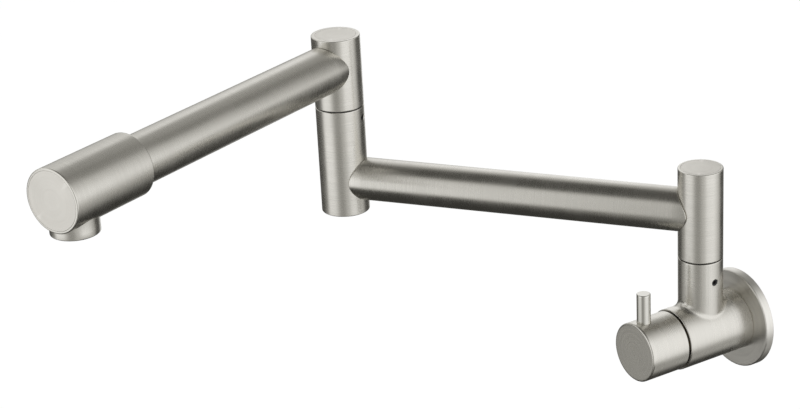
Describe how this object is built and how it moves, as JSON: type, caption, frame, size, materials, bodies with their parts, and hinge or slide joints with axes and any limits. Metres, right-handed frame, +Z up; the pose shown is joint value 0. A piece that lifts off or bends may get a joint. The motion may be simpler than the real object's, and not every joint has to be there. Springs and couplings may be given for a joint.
{
  "type": "wall mounted pot filler",
  "caption": "Wall mounted pot filler tap with a quarter-turn valve knob, swinging tubular arms joined by an elbow swivel, and an aerated outlet head.",
  "frame": {"origin": "on the valve axis in the plane of the wall, at the centre of the cover plate's back face", "axes": "-Y points straight out of the wall along the valve axis, +Z is up, +X is to the right seen from in front of the wall"},
  "size_m": [0.2267, 0.4089, 0.1974],
  "materials": {
    "brushed_nickel": "warm satin nickel, brushed round the tubes",
    "polished_nickel": "finely turned bright nickel",
    "raw_brass": "turned brass, uncoated",
    "black_steel": "blackened hardened steel",
    "screw_steel": "plain stainless steel",
    "black_rubber": "matt",
    "fibre_washer": "pressed red fibre",
    "ceramic": "lapped white ceramic",
    "dark_plastic": "low-friction swivel washer",
    "white_plastic": "moulded insert"
  },
  "bodies": {
    "valve": {"wall_flange": "brushed_nickel", "flange_gasket": "black_rubber", "inlet_nipple": "raw_brass", "inlet_washer": "fibre_washer", "valve_body": "brushed_nickel", "column_set_screw": "black_steel", "lower_swivel_washer": "dark_plastic", "headwork_housing": "raw_brass", "headwork_o_ring": "black_rubber", "disc_seal": "black_rubber", "fixed_disc": "ceramic"},
    "knob_group": {"knob": "brushed_nickel", "lever_pin": "polished_nickel", "knob_grub_screw": "black_steel", "spindle": "raw_brass", "moving_disc": "ceramic", "spindle_o_rings": "black_rubber", "spindle_circlip": "screw_steel"},
    "lower_arm_group": {"lower_spigot": "raw_brass", "lower_spigot_o_rings": "black_rubber", "wall_post": "brushed_nickel", "wall_post_cap": "brushed_nickel", "lower_arm": "brushed_nickel", "elbow_lower_post": "brushed_nickel", "elbow_bottom_cap": "brushed_nickel", "elbow_set_screw": "black_steel", "elbow_swivel_washer": "dark_plastic"},
    "upper_arm_group": {"elbow_spigot": "raw_brass", "elbow_spigot_o_rings": "black_rubber", "elbow_upper_post": "brushed_nickel", "elbow_top_cap": "brushed_nickel", "upper_arm": "brushed_nickel", "outlet_head": "brushed_nickel", "head_cap": "brushed_nickel", "aerator_washer": "black_rubber", "aerator_shell": "polished_nickel", "aerator_insert": "white_plastic", "aerator_screen": "screw_steel"}
  },
  "joints": [
    {"name": "knob_turn", "type": "hinge", "parent": "valve", "child": "knob_group", "pos_m": [0, -0.0528, 0], "axis": [0, -1, 0], "range_deg": [0, 90]},
    {"name": "lower_arm_swing", "type": "hinge", "parent": "valve", "child": "lower_arm_group", "pos_m": [0, -0.0308, 0.0477], "axis": [0, 0, 1], "range_deg": [-39, 148]},
    {"name": "upper_arm_swing", "type": "hinge", "parent": "lower_arm_group", "child": "upper_arm_group", "pos_m": [-0.18189, -0.16102, 0.1227], "axis": [0, 0, 1], "continuous": true}
  ]
}
